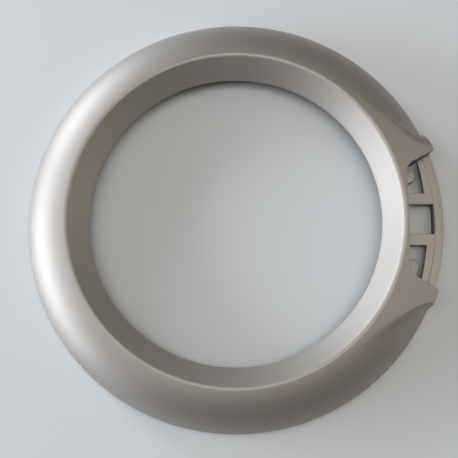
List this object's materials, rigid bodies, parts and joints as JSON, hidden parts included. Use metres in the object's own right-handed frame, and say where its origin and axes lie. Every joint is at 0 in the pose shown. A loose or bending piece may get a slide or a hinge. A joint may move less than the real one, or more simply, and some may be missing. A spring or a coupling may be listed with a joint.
{
  "type": "washing machine door outer ring",
  "caption": "Round moulded outer ring of a front-loading washing machine door, with a raised crest, a funnel round the glass opening and a handle pocket between two wings.",
  "frame": {"origin": "on the ring's axis, at the plane of its open back edge", "axes": "+Z along the ring's axis towards the front of the door, +X from the axis through the middle of the handle pocket"},
  "size_m": [0.4399, 0.4398, 0.0482],
  "materials": {
    "silver_painted_plastic": "satin metallic silver paint on moulded ABS"
  },
  "bodies": {
    "root": {"door_ring": "silver_painted_plastic"}
  },
  "joints": []
}
